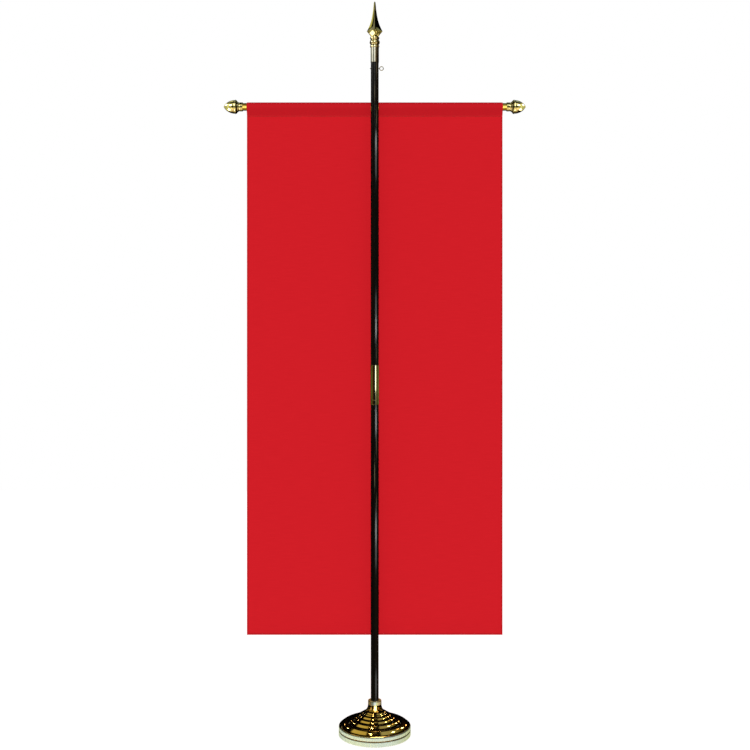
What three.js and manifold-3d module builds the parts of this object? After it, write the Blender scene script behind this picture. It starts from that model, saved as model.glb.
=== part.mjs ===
// Gonfalon: a red cloth banner on a crossbar, carried by a two-piece pole on a round base.
// Millimetres, +Z up. The origin is the middle of the base's underside, on the pole's axis.
// The front, where the pole passes before the cloth, faces -Y.

import * as THREE from 'three';
import { mergeVertices } from 'three/addons/utils/BufferGeometryUtils.js';
import Module from 'manifold-3d';

const wasm = await Module();
wasm.setup();

// Driving dimensions
const GAP = 0.3;

// The pole and its two brass joints
const POLE_RADIUS = 14;
const POLE_FOOT_Z = 12;
const SPIGOT_RADIUS = 12.6;
const FERRULE_BORE = 13;
const FERRULE_RADIUS = 14.8;
const JOINT_LOW_Z = 1169;
const JOINT_SPLIT_Z = 1185;
const JOINT_TOP_Z = 1309;
const JOINT_MEETING_Z = 1240;
const TOP_FERRULE_LOW_Z = 2382.5;
const TOP_FERRULE_TOP_Z = 2435.5;
const POLE_TOP_Z = 2420;

// The round base
const BASE_RADIUS = 127.5;
const DRUM_RADIUS = 121.5;
const LOWER_BAND_TOP = 17.3;
const GOLD_LINE_TOP = 18.7;
const GOLD_LINE_RADIUS = 126.3;
const UPPER_BAND_TOP = 33;
const UPPER_BAND_TOP_RADIUS = 125.4;
const BAND_EDGE = 1;
const NECK_RADIUS = 24;
const NECK_CURVE_Z = 88;
const NECK_TOP_Z = 107.5;
const COLLAR_RADIUS = 24;
const COLLAR_TOP_Z = 121.5;
const COLLAR_LIP = 2.4;
const RING_CROWN = 0.11;
// The grooves between the base's five rings, from the smooth neck outwards
const GROOVES = [
  { radius: 40, height: 79.4 },
  { radius: 48, height: 72.9 },
  { radius: 61, height: 64.9 },
  { radius: 75.5, height: 56.5 },
  { radius: 95, height: 46.5 },
  { radius: 124, height: 33.6 },
];

// The banner cloth, a hung sheet with a sleeve along its top
const CLOTH_WIDTH = 914.4;
const CLOTH_BOTTOM_Z = 343;
const SHEET = 1.5;
const SEAM_Z = 2201;
const TURNED_EDGE = 5;
const SLEEVE_SLACK = 0.8;
const HEM_WIDTH = 6;
const HEM_EXTRA = 1;

// The crossbar and its acorn ends
const BAR_RADIUS = 13.4;
const BAR_Y = 32;
const BAR_Z = 2232.2;
const BAR_HALF = 471.7;
const BAR_SOCKET_DEPTH = 14;
const ACORN_LENGTH = 69;
const NUT_LENGTH = 40;
const NUT_RADIUS = 23.8;

// The screw that holds the crossbar against the pole, driven from behind
const SCREW_RADIUS = 2;
const SCREW_TIP_Y = 1;
const SCREW_HEAD_RADIUS = 5;
const SCREW_HEAD_HEIGHT = 2.4;

// The spear head with its bead
const SPEAR_SHOULDER_Z = 2493.4;
const SPEAR_TIP_Z = 2599;
const SPEAR_FLANK = 0.6;
const BEAD_MIDDLE_Z = 2453.8;
const BEAD_RADIUS = 17.9;
const BEAD_HALF_HEIGHT = 9;

// The screw eye near the top of the pole
const EYE_Z = 2361.5;
const EYE_X = 24;
const EYE_RING_RADIUS = 6.7;
const EYE_WIRE_RADIUS = 1.3;
const NUT_END_RADIUS = 2.7;
const NUT_END_HEIGHT = 2.3;

// Steps around the turned pieces
const POLE_STEPS = 28;
const ACORN_STEPS = 24;
const BASE_STEPS = 64;
const SCREW_STEPS = 12;

// Materials
const redCloth = new THREE.MeshStandardMaterial({ color: 0xd21d26, roughness: 0.9, metalness: 0 });
const blackLacquer = new THREE.MeshStandardMaterial({ color: 0x120e0b, roughness: 0.15, metalness: 0 });
const polishedBrass = new THREE.MeshStandardMaterial({ color: 0xc99d45, roughness: 0.15, metalness: 1 });
const paleBrass = new THREE.MeshStandardMaterial({ color: 0xd8c27a, roughness: 0.2, metalness: 1 });
const reededBrass = new THREE.MeshStandardMaterial({ color: 0xcdcfbb, roughness: 0.35, metalness: 1 });

const gonfalon = new THREE.Group();
gonfalon.name = 'gonfalon';

function addPiece(name, geometry, material) {
  const mesh = new THREE.Mesh(geometry, material);
  mesh.name = name;
  gonfalon.add(mesh);
  return mesh;
}

function point(across, up) {
  return new THREE.Vector2(across, up);
}

// Points along an arc, its ends included; angles in degrees from the first axis
function arc(centre, radius, from, to, steps) {
  const points = [];
  for (let i = 0; i <= steps; i += 1) {
    const angle = THREE.MathUtils.degToRad(from + ((to - from) * i) / steps);
    points.push(point(centre.x + radius * Math.cos(angle), centre.y + radius * Math.sin(angle)));
  }
  return points;
}

// A shallow arc from one point to the next, crowned to the right of its way by a share of its length
function crowned(from, to, crown, steps) {
  const along = to.clone().sub(from);
  const side = point(along.y, -along.x);
  const middle = from.clone().add(to).multiplyScalar(0.5).addScaledVector(side, 2 * crown);
  return new THREE.QuadraticBezierCurve(from, middle, to).getPoints(steps);
}

// A piece turned about the z axis from points given as (radius, height), from the bottom upwards
function turned(points, steps) {
  return new THREE.LatheGeometry(points, steps).rotateX(Math.PI / 2);
}

// A plain tube about the z axis
function tube(bore, radius, low, high, steps) {
  return turned([point(bore, low), point(radius, low), point(radius, high), point(bore, high),
    point(bore, low)], steps);
}

function toSolid(geometry) {
  const bare = geometry.clone();
  bare.deleteAttribute('normal');
  bare.deleteAttribute('uv');
  const merged = mergeVertices(bare, 1e-4);
  return new wasm.Manifold(new wasm.Mesh({
    numProp: 3,
    vertProperties: new Float32Array(merged.attributes.position.array),
    triVerts: new Uint32Array(merged.index.array),
  }));
}

function toGeometry(solid) {
  const mesh = solid.getMesh();
  const geometry = new THREE.BufferGeometry();
  geometry.setAttribute('position', new THREE.BufferAttribute(new Float32Array(mesh.vertProperties), 3));
  geometry.setIndex(new THREE.BufferAttribute(new Uint32Array(mesh.triVerts), 1));
  geometry.computeVertexNormals();
  return geometry;
}

// A cutting rod of a given radius along Y, or along X
function rodAlongY(radius, x, z, from, to) {
  const rod = new THREE.CylinderGeometry(radius, radius, to - from, SCREW_STEPS);
  return toSolid(rod.translate(x, (from + to) / 2, z));
}

function rodAlongX(radius, y, z, from, to) {
  const rod = new THREE.CylinderGeometry(radius, radius, to - from, SCREW_STEPS).rotateZ(Math.PI / 2);
  return toSolid(rod.translate((from + to) / 2, y, z));
}

// The base: one weighted drum whose domed top is spun into five rings and a smooth neck
function baseBody() {
  const neckCurve = new THREE.QuadraticBezierCurve(
    point(GROOVES[0].radius, GROOVES[0].height),
    point(NECK_RADIUS, NECK_CURVE_Z),
    point(NECK_RADIUS, NECK_TOP_Z),
  );
  const outline = [
    point(0, 0),
    point(DRUM_RADIUS, 0),
    point(DRUM_RADIUS, UPPER_BAND_TOP + GAP),
    point(GROOVES[5].radius, UPPER_BAND_TOP + GAP),
  ];
  for (let i = GROOVES.length - 1; i > 0; i -= 1) {
    const from = point(GROOVES[i].radius, GROOVES[i].height);
    const to = point(GROOVES[i - 1].radius, GROOVES[i - 1].height);
    outline.push(...crowned(from, to, RING_CROWN, 4).slice(0, -1));
  }
  outline.push(...neckCurve.getPoints(6));
  outline.push(point(POLE_RADIUS + GAP, NECK_TOP_Z));
  outline.push(point(POLE_RADIUS + GAP, POLE_FOOT_Z - GAP));
  outline.push(point(0, POLE_FOOT_Z - GAP));
  return turned(outline, BASE_STEPS);
}

function lowerBand() {
  const bore = DRUM_RADIUS + GAP;
  return turned([
    point(bore, 0),
    point(BASE_RADIUS - BAND_EDGE, 0),
    point(BASE_RADIUS, BAND_EDGE),
    point(BASE_RADIUS, LOWER_BAND_TOP - BAND_EDGE),
    point(BASE_RADIUS - BAND_EDGE, LOWER_BAND_TOP),
    point(bore, LOWER_BAND_TOP),
    point(bore, 0),
  ], BASE_STEPS);
}

function upperBand() {
  const bore = DRUM_RADIUS + GAP;
  return turned([
    point(bore, GOLD_LINE_TOP + GAP),
    point(BASE_RADIUS - BAND_EDGE, GOLD_LINE_TOP + GAP),
    point(BASE_RADIUS, GOLD_LINE_TOP + GAP + BAND_EDGE),
    point(BASE_RADIUS - 0.3, 26),
    point(UPPER_BAND_TOP_RADIUS + 0.8, UPPER_BAND_TOP - 1.6),
    point(UPPER_BAND_TOP_RADIUS, UPPER_BAND_TOP),
    point(bore, UPPER_BAND_TOP),
    point(bore, GOLD_LINE_TOP + GAP),
  ], BASE_STEPS);
}

function baseCollar() {
  const low = NECK_TOP_Z + GAP;
  const lip = arc(point(COLLAR_RADIUS - COLLAR_LIP, COLLAR_TOP_Z - COLLAR_LIP), COLLAR_LIP, 0, 90, 4);
  return turned([
    point(POLE_RADIUS + GAP, low),
    point(COLLAR_RADIUS, low),
    ...lip,
    point(POLE_RADIUS + GAP, COLLAR_TOP_Z),
    point(POLE_RADIUS + GAP, low),
  ], POLE_STEPS);
}

addPiece('base_body', baseBody(), polishedBrass);
addPiece('base_lower_band', lowerBand(), reededBrass);
addPiece('base_gold_line', tube(DRUM_RADIUS + GAP, GOLD_LINE_RADIUS, LOWER_BAND_TOP + GAP, GOLD_LINE_TOP,
  BASE_STEPS), polishedBrass);
addPiece('base_upper_band', upperBand(), reededBrass);
addPiece('base_collar', baseCollar(), paleBrass);

// The lower pole stands in the base and ends in a spigot inside the joint
addPiece('pole_lower', turned([
  point(0, POLE_FOOT_Z),
  point(POLE_RADIUS, POLE_FOOT_Z),
  point(POLE_RADIUS, JOINT_LOW_Z - GAP),
  point(SPIGOT_RADIUS, JOINT_LOW_Z - GAP),
  point(SPIGOT_RADIUS, JOINT_MEETING_Z - GAP / 2),
  point(0, JOINT_MEETING_Z - GAP / 2),
], POLE_STEPS), blackLacquer);

addPiece('joint_ring', tube(FERRULE_BORE, FERRULE_RADIUS, JOINT_LOW_Z, JOINT_SPLIT_Z, POLE_STEPS), paleBrass);
addPiece('joint_ferrule', tube(FERRULE_BORE, FERRULE_RADIUS, JOINT_SPLIT_Z + GAP, JOINT_TOP_Z, POLE_STEPS),
  paleBrass);

// The upper pole, bored for the screw eye and for the crossbar's screw
const SCREW_HOLE = SCREW_RADIUS + GAP;
const EYE_HOLE = EYE_WIRE_RADIUS + GAP;
const upperPole = toSolid(turned([
  point(0, JOINT_MEETING_Z + GAP / 2),
  point(SPIGOT_RADIUS, JOINT_MEETING_Z + GAP / 2),
  point(SPIGOT_RADIUS, JOINT_TOP_Z + GAP),
  point(POLE_RADIUS, JOINT_TOP_Z + GAP),
  point(POLE_RADIUS, TOP_FERRULE_LOW_Z - GAP),
  point(SPIGOT_RADIUS, TOP_FERRULE_LOW_Z - GAP),
  point(SPIGOT_RADIUS, POLE_TOP_Z),
  point(0, POLE_TOP_Z),
], POLE_STEPS))
  .subtract(rodAlongX(EYE_HOLE, 0, EYE_Z, -POLE_RADIUS - 2, POLE_RADIUS + 2))
  .subtract(rodAlongY(SCREW_HOLE, 0, BAR_Z, SCREW_TIP_Y - GAP, POLE_RADIUS + 2));
addPiece('pole_upper', toGeometry(upperPole), blackLacquer);

addPiece('top_ferrule', tube(FERRULE_BORE, FERRULE_RADIUS, TOP_FERRULE_LOW_Z, TOP_FERRULE_TOP_Z, POLE_STEPS),
  paleBrass);

// The spear's turned foot: a stem in the ferrule, a ring, the bead and the ring under the blade
function spearBead() {
  const seat = TOP_FERRULE_TOP_Z + GAP;
  const outline = [
    point(0, POLE_TOP_Z + GAP),
    point(SPIGOT_RADIUS, POLE_TOP_Z + GAP),
    point(SPIGOT_RADIUS, seat),
    point(15.2, seat),
    point(16, seat + 1.6),
    point(15.8, seat + 6),
    point(14.6, seat + 8.6),
  ];
  for (const angle of [-50, -25, 0, 25, 50]) {
    const turn = THREE.MathUtils.degToRad(angle);
    outline.push(point(
      BEAD_RADIUS - 7 + 7 * Math.cos(turn),
      BEAD_MIDDLE_Z + BEAD_HALF_HEIGHT * Math.sin(turn),
    ));
  }
  outline.push(point(14.6, BEAD_MIDDLE_Z + BEAD_HALF_HEIGHT + 1.6));
  outline.push(point(16, 2467.2));
  outline.push(point(16.4, 2469.6));
  outline.push(point(15.6, 2472.2));
  outline.push(point(12.6, 2474.2));
  outline.push(point(0, 2474.2));
  return turned(outline, POLE_STEPS);
}
addPiece('spear_bead', spearBead(), paleBrass);

// The blade: four ridges, on a short pyramid foot with flat sides, and hollow between them from the
// shoulder up to a long thin point. Each row gives a height above the floor and the ridge's distance
// from the axis.
const BLADE = [
  { height: 2474.5, ridge: 12.8 },
  { height: 2478.5, ridge: 16.2 },
  { height: 2487, ridge: 23.4 },
  { height: SPEAR_SHOULDER_Z, ridge: 28 },
  { height: 2498, ridge: 25.4 },
  { height: 2506, ridge: 21.4 },
  { height: 2517.5, ridge: 16.5 },
  { height: 2531.7, ridge: 12 },
  { height: 2549.5, ridge: 8.3 },
  { height: 2567, ridge: 5.7 },
  { height: 2584.9, ridge: 4 },
  { height: 2597, ridge: 2.6 },
];

function spearBlade() {
  const outline = [point(0, BLADE[0].height)];
  for (const row of BLADE) {
    outline.push(point(row.ridge, row.height));
  }
  outline.push(point(0, SPEAR_TIP_Z));
  const blade = turned(outline, 8);
  const place = blade.attributes.position;
  for (let i = 0; i < place.count; i += 1) {
    const turn = Math.round(Math.atan2(place.getY(i), place.getX(i)) / (Math.PI / 4));
    const flank = place.getZ(i) > SPEAR_SHOULDER_Z + GAP ? SPEAR_FLANK : Math.SQRT1_2;
    const share = Math.abs(turn) % 2 === 1 ? flank : 1;
    place.setX(i, place.getX(i) * share);
    place.setY(i, place.getY(i) * share);
  }
  return blade;
}
addPiece('spear_blade', spearBlade(), paleBrass);

// The screw eye: a ring in the XZ plane on a shank that runs through the pole
function screwEye() {
  const ring = toSolid(new THREE.TorusGeometry(EYE_RING_RADIUS, EYE_WIRE_RADIUS, 8, 20)
    .rotateX(Math.PI / 2)
    .translate(EYE_X, 0, EYE_Z));
  const shank = rodAlongX(EYE_WIRE_RADIUS, 0, EYE_Z, -POLE_RADIUS + GAP, EYE_X - EYE_RING_RADIUS + 0.6);
  return toGeometry(ring.add(shank));
}
addPiece('screw_eye', screwEye(), paleBrass);

const eyeNut = turned([
  point(0, 0),
  point(NUT_END_RADIUS, 0),
  point(NUT_END_RADIUS, NUT_END_HEIGHT * 0.5),
  point(NUT_END_RADIUS * 0.7, NUT_END_HEIGHT * 0.9),
  point(0, NUT_END_HEIGHT),
], SCREW_STEPS).rotateY(-Math.PI / 2).translate(-POLE_RADIUS - GAP, 0, EYE_Z);
addPiece('eye_nut', eyeNut, paleBrass);

// The cloth's section in the YZ plane: one hanging layer that runs up before the bar, over it
// and down its back, where its turned edge is stitched to the hanging layer
const SLEEVE_INNER = BAR_RADIUS + SLEEVE_SLACK;
const SLEEVE_OUTER = SLEEVE_INNER + SHEET;
const BAR_CENTRE = point(BAR_Y, BAR_Z);

// The angle on a circle about the bar where a line from a lower point touches it
function touchAngle(from, radius, side) {
  const reach = BAR_CENTRE.clone().sub(from);
  const bearing = Math.atan2(-reach.y, -reach.x);
  return THREE.MathUtils.radToDeg(bearing + side * Math.acos(radius / reach.length()));
}

function sleeveLoop(backFoot, frontFoot, radius, steps) {
  const back = touchAngle(backFoot, radius, 1);
  const front = touchAngle(frontFoot, radius, -1) + 360;
  return arc(BAR_CENTRE, radius, back, front, steps);
}

function clothSection() {
  const front = BAR_Y - SHEET / 2;
  const back = BAR_Y + SHEET / 2;
  const edge = back + SHEET;
  const frontFoot = point(front, SEAM_Z);
  const backFoot = point(edge, SEAM_Z);
  const section = new THREE.Shape([
    point(front, CLOTH_BOTTOM_Z),
    point(back, CLOTH_BOTTOM_Z),
    point(back, SEAM_Z - TURNED_EDGE),
    point(edge, SEAM_Z - TURNED_EDGE),
    backFoot,
    ...sleeveLoop(backFoot, frontFoot, SLEEVE_OUTER, 18),
    frontFoot,
  ]);
  const innerFoot = point(back, SEAM_Z + SHEET);
  section.holes.push(new THREE.Path([
    innerFoot,
    ...sleeveLoop(innerFoot, innerFoot, SLEEVE_INNER, 18),
  ]));
  return section;
}

function bannerCloth() {
  const alongX = new THREE.Matrix4().makeBasis(
    new THREE.Vector3(0, 1, 0),
    new THREE.Vector3(0, 0, 1),
    new THREE.Vector3(1, 0, 0),
  );
  const sheet = new THREE.ExtrudeGeometry(clothSection(), { depth: CLOTH_WIDTH, bevelEnabled: false })
    .translate(0, 0, -CLOTH_WIDTH / 2)
    .applyMatrix4(alongX);
  let cloth = toSolid(sheet);
  const back = BAR_Y + SHEET / 2;
  const sideLength = SEAM_Z - TURNED_EDGE - CLOTH_BOTTOM_Z;
  for (const side of [-1, 1]) {
    const hem = new THREE.BoxGeometry(HEM_WIDTH, SHEET / 2 + HEM_EXTRA, sideLength).translate(
      side * (CLOTH_WIDTH - HEM_WIDTH) / 2,
      (BAR_Y + back + HEM_EXTRA) / 2,
      CLOTH_BOTTOM_Z + sideLength / 2,
    );
    cloth = cloth.add(toSolid(hem));
  }
  const bottomHem = new THREE.BoxGeometry(CLOTH_WIDTH, SHEET / 2 + HEM_EXTRA, HEM_WIDTH).translate(
    0,
    (BAR_Y + back + HEM_EXTRA) / 2,
    CLOTH_BOTTOM_Z + HEM_WIDTH / 2,
  );
  cloth = cloth.add(toSolid(bottomHem));
  const screwHole = rodAlongY(SCREW_HOLE, 0, BAR_Z, BAR_Y - SLEEVE_OUTER - 2, BAR_Y + SLEEVE_OUTER + 2);
  return toGeometry(cloth.subtract(screwHole));
}
addPiece('banner_cloth', bannerCloth(), redCloth);

// The crossbar, bored through its middle for the screw
const barReach = BAR_HALF + BAR_SOCKET_DEPTH - GAP;
const crossbar = toSolid(new THREE.CylinderGeometry(BAR_RADIUS, BAR_RADIUS, 2 * barReach, POLE_STEPS)
  .rotateZ(Math.PI / 2)
  .translate(0, BAR_Y, BAR_Z))
  .subtract(rodAlongY(SCREW_HOLE, 0, BAR_Z, BAR_Y - BAR_RADIUS - 2, BAR_Y + BAR_RADIUS + 2));
addPiece('crossbar', toGeometry(crossbar), polishedBrass);

// An acorn end, as (radius, distance from its tip): a pointed nut, a rim bead, a stepped cup and a collar
function acorn() {
  const ogive = (NUT_RADIUS ** 2 + NUT_LENGTH ** 2) / (2 * NUT_RADIUS);
  const outline = [];
  for (const along of [0, 2, 6, 11, 17, 23, 30, 38]) {
    const fall = Math.sqrt(ogive ** 2 - (NUT_LENGTH - along) ** 2) - (ogive - NUT_RADIUS);
    outline.push(point(Math.max(fall, 0), along));
  }
  outline.push(point(23.2, 39.4));
  outline.push(point(24.6, 41));
  outline.push(point(25, 43.4));
  outline.push(point(24, 45.6));
  outline.push(point(21, 48.6));
  outline.push(point(18.4, 51));
  outline.push(point(16.4, 53.4));
  outline.push(point(15.4, 56));
  outline.push(point(15.9, 57.6));
  outline.push(point(15.9, ACORN_LENGTH - 1.2));
  outline.push(point(14.9, ACORN_LENGTH));
  outline.push(point(BAR_RADIUS + GAP, ACORN_LENGTH));
  outline.push(point(BAR_RADIUS + GAP, ACORN_LENGTH - BAR_SOCKET_DEPTH));
  outline.push(point(0, ACORN_LENGTH - BAR_SOCKET_DEPTH));
  return turned(outline, ACORN_STEPS);
}

const leftAcorn = acorn().rotateY(Math.PI / 2).translate(-BAR_HALF - ACORN_LENGTH, BAR_Y, BAR_Z);
addPiece('acorn_left', leftAcorn, paleBrass);
const rightAcorn = acorn().rotateY(-Math.PI / 2).translate(BAR_HALF + ACORN_LENGTH, BAR_Y, BAR_Z);
addPiece('acorn_right', rightAcorn, paleBrass);

// The screw from behind, through sleeve and bar into the pole, with a domed head outside the sleeve
const screwHeadY = BAR_Y + SLEEVE_OUTER + GAP;
const crossbarScrew = turned([
  point(0, 0),
  point(SCREW_RADIUS, 0),
  point(SCREW_RADIUS, screwHeadY - SCREW_TIP_Y),
  point(SCREW_HEAD_RADIUS, screwHeadY - SCREW_TIP_Y),
  point(SCREW_HEAD_RADIUS, screwHeadY - SCREW_TIP_Y + SCREW_HEAD_HEIGHT * 0.4),
  point(SCREW_HEAD_RADIUS * 0.75, screwHeadY - SCREW_TIP_Y + SCREW_HEAD_HEIGHT * 0.85),
  point(0, screwHeadY - SCREW_TIP_Y + SCREW_HEAD_HEIGHT),
], SCREW_STEPS).rotateX(-Math.PI / 2).translate(0, SCREW_TIP_Y, BAR_Z);
addPiece('crossbar_screw', crossbarScrew, polishedBrass);

export default gonfalon;
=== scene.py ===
# Gonfalon: a red cloth banner on a crossbar, carried by a lacquered pole on a spun brass base.
# Metres, +Z up, the front towards -Y. Sizes are given in millimetres and turned to metres by MM.

import math

import bmesh
import bpy
from mathutils import Matrix, Vector


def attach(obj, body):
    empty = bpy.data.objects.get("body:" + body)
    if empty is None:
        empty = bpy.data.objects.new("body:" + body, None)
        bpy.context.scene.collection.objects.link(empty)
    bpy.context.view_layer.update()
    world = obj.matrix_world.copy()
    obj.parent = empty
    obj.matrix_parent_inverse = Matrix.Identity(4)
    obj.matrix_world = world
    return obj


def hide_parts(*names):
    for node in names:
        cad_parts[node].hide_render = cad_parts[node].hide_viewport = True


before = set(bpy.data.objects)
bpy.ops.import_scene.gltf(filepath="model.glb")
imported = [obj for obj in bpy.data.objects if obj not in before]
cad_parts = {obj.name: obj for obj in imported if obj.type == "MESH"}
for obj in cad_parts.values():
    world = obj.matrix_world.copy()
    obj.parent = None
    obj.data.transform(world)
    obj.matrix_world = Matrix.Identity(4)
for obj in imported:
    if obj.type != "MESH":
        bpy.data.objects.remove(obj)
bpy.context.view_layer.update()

MM = 0.001
TURN = 2 * math.pi

# Sizes in millimetres
# The pole and its brass joints
POLE_RADIUS = 14
POLE_FOOT_Z = 12
SPIGOT_RADIUS = 12.6
FERRULE_BORE = 13
FERRULE_RADIUS = 14.8
JOINT_LOW_Z = 1169
JOINT_SPLIT_Z = 1185
JOINT_TOP_Z = 1309
JOINT_MEETING_Z = 1240
TOP_FERRULE_LOW_Z = 2382.5
TOP_FERRULE_TOP_Z = 2435.5
POLE_TOP_Z = 2420
GAP = 0.3

# The round base
BASE_RADIUS = 127.5
DRUM_RADIUS = 121.5
LOWER_BAND_TOP = 17.3
GOLD_LINE_TOP = 18.7
GOLD_LINE_RADIUS = 126.3
UPPER_BAND_TOP = 33
UPPER_BAND_TOP_RADIUS = 125.4
UPPER_BAND_SHOULDER = 31.6
NECK_RADIUS = 24
NECK_CURVE_Z = 88
NECK_TOP_Z = 107.5
COLLAR_RADIUS = 24
COLLAR_TOP_Z = 121.5
RING_CROWN = 0.11
# The grooves beside the dome's five rings, as (radius, height)
GROOVES = ((40, 79.4), (48, 72.9), (61, 64.9), (75.5, 56.5), (95, 46.5), (124, 33.6))
REED_COUNT = 150
REED_DEPTH = 1.2
REED_LEAN = 78

# The cloth, its sleeve and its hems
CLOTH_WIDTH = 914.4
CLOTH_BOTTOM_Z = 343
SHEET = 1.5
SEAM_Z = 2201
TURNED_EDGE = 5
SLEEVE_SLACK = 0.8
HEM_WIDTH = 6
HEM_EXTRA = 1
STITCH_PITCH = 3.4
STITCH_LENGTH = 2.5
STITCH_RADIUS = 0.32

# The crossbar and its acorn ends
BAR_RADIUS = 13.4
BAR_Y = 32
BAR_Z = 2232.2
BAR_HALF = 471.7
BAR_SOCKET_DEPTH = 14
ACORN_LENGTH = 69
NUT_LENGTH = 40
NUT_RADIUS = 23.8

# The screw behind the crossbar
SCREW_RADIUS = 2
SCREW_TIP_Y = 1
SCREW_HEAD_RADIUS = 5
SCREW_HEAD_HEIGHT = 2.4

# The spear head
SPEAR_SHOULDER_Z = 2493.4
SPEAR_TIP_Z = 2599
BEAD_MIDDLE_Z = 2453.8
BEAD_RADIUS = 17.9
BEAD_HALF_HEIGHT = 9
BEAD_BULGE = 7

# The screw eye
EYE_Z = 2361.5
EYE_X = 24
EYE_RING_RADIUS = 6.7
EYE_WIRE_RADIUS = 1.3

# Steps round the turned pieces, a radius in mm that counts as on the axis, and the distances in metres
# below which the points of a rim, and of one and the same corner, are joined
FINE_STEPS = 96
BASE_STEPS = 192
ON_AXIS = 1e-6
RIM_WELD = 0.02 * MM
SAME_POINT = 1e-7


# Materials

# How far the painted shade along a groove reaches to each side, and its soft edge
GROOVE_SHADE_REACH = 2 * MM
GROOVE_SHADE_SOFT = 1.2 * MM


def linear(colour):
    """An sRGB hex colour as linear red, green, blue and alpha."""
    values = []
    for start in (1, 3, 5):
        value = int(colour[start:start + 2], 16) / 255
        values.append(value / 12.92 if value <= 0.04045 else ((value + 0.055) / 1.055) ** 2.4)
    return (*values, 1.0)


def add_node(tree, kind, inputs=None, **settings):
    """A node with its settings, and its inputs set to values or linked to other nodes' sockets."""
    node = tree.nodes.new(kind)
    for name, value in settings.items():
        setattr(node, name, value)
    for name, value in (inputs or {}).items():
        if isinstance(value, bpy.types.NodeSocket):
            tree.links.new(value, node.inputs[name])
        else:
            node.inputs[name].default_value = value
    return node


def new_material(name, **surface):
    """A material with a Principled BSDF whose sockets hold the given values."""
    material = bpy.data.materials.new(name)
    material.use_nodes = True
    tree = material.node_tree
    tree.nodes.clear()
    shader = add_node(tree, "ShaderNodeBsdfPrincipled", surface)
    output = add_node(tree, "ShaderNodeOutputMaterial")
    tree.links.new(shader.outputs["BSDF"], output.inputs["Surface"])
    return material, tree, shader


def math_node(tree, operation, first, second=0.0):
    return add_node(tree, "ShaderNodeMath", {0: first, 1: second}, operation=operation).outputs[0]


def vector_math(tree, operation, first, **more):
    """Vector math on a first value, with a second and a scale where they are given."""
    inputs = {0: first}
    if "second" in more:
        inputs[1] = more["second"]
    if "scale" in more:
        inputs["Scale"] = more["scale"]
    return add_node(tree, "ShaderNodeVectorMath", inputs, operation=operation).outputs[0]


def colour_between(tree, share, dark, light, low=0.3, high=0.7):
    """A ramp from one hex colour to another as share goes from low to high."""
    ramp = add_node(tree, "ShaderNodeValToRGB", {"Fac": share})
    ramp.color_ramp.elements[0].position = low
    ramp.color_ramp.elements[0].color = linear(dark)
    ramp.color_ramp.elements[1].position = high
    ramp.color_ramp.elements[1].color = linear(light)
    return ramp.outputs["Color"]


def noise(tree, scale, detail=2.0, vector=None, stretch=None):
    """Noise on Object coordinates, its scale in spots to a metre, stretched by a scale for each axis."""
    if vector is None:
        vector = add_node(tree, "ShaderNodeTexCoord").outputs["Object"]
    if stretch:
        vector = add_node(tree, "ShaderNodeMapping", {"Vector": vector, "Scale": stretch}).outputs[0]
    texture = add_node(tree, "ShaderNodeTexNoise", {"Vector": vector, "Scale": scale, "Detail": detail})
    return texture.outputs["Fac"]


def value_between(tree, share, low, high):
    return add_node(tree, "ShaderNodeMapRange", {"Value": share, "To Min": low, "To Max": high}).outputs[0]


def bump(tree, shader, height, distance, strength=1.0, after=None):
    inputs = {"Height": height, "Distance": distance, "Strength": strength}
    if after is not None:
        inputs["Normal"] = after
    normal = add_node(tree, "ShaderNodeBump", inputs).outputs["Normal"]
    tree.links.new(normal, shader.inputs["Normal"])
    return normal


def window(tree, value, low, high, soft):
    """1 where the value is between two limits, with soft edges."""
    sides = []
    for start, end in ((low - soft, low + soft), (high + soft, high - soft)):
        limits = {"Value": value, "From Min": start, "From Max": end}
        side = add_node(tree, "ShaderNodeMapRange", limits, interpolation_type="SMOOTHSTEP")
        sides.append(side.outputs[0])
    return math_node(tree, "MULTIPLY", *sides)


def laid_over(tree, share, under, over):
    mix = add_node(tree, "ShaderNodeMix", {0: share}, data_type="RGBA")
    tree.links.new(under, mix.inputs[6])
    if isinstance(over, bpy.types.NodeSocket):
        tree.links.new(over, mix.inputs[7])
    else:
        mix.inputs[7].default_value = over
    return mix.outputs[2]


def brass(name, dark, light, smooth, rough, spun_pitch=0.0, grooves=()):
    """Polished brass: its colour drifts a little, and fine smears and turning lines break its gloss.
    spun_pitch is the distance between turning lines in metres, about the Z axis. Each groove, given by its
    radius in metres, gets a near black line of painted shade."""
    material, tree, shader = new_material(name, Metallic=1.0)
    colour = colour_between(tree, noise(tree, 22.0, 3.0), dark, light)
    tree.links.new(value_between(tree, noise(tree, 70.0, 4.0), smooth, rough), shader.inputs["Roughness"])
    normal = bump(tree, shader, noise(tree, 900.0, 2.0), 0.00002, 0.1)
    if spun_pitch:
        place = add_node(tree, "ShaderNodeTexCoord").outputs["Object"]
        split = add_node(tree, "ShaderNodeSeparateXYZ", {"Vector": place})
        squares = math_node(tree, "ADD", math_node(tree, "POWER", split.outputs["X"], 2.0),
                            math_node(tree, "POWER", split.outputs["Y"], 2.0))
        radius = math_node(tree, "SQRT", squares)
        along = add_node(tree, "ShaderNodeCombineXYZ", {"X": radius, "Z": split.outputs["Z"]}).outputs[0]
        lines = noise(tree, 1.0 / spun_pitch, 1.0, vector=along)
        bump(tree, shader, lines, 0.00003, 0.2, after=normal)
        # Painted shade: a near black line along each groove
        for groove in grooves:
            share = window(tree, radius, groove - GROOVE_SHADE_REACH, groove + GROOVE_SHADE_REACH, GROOVE_SHADE_SOFT)
            colour = laid_over(tree, share, colour, linear("#0C0603"))
    tree.links.new(colour, shader.inputs["Base Color"])
    return material


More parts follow.
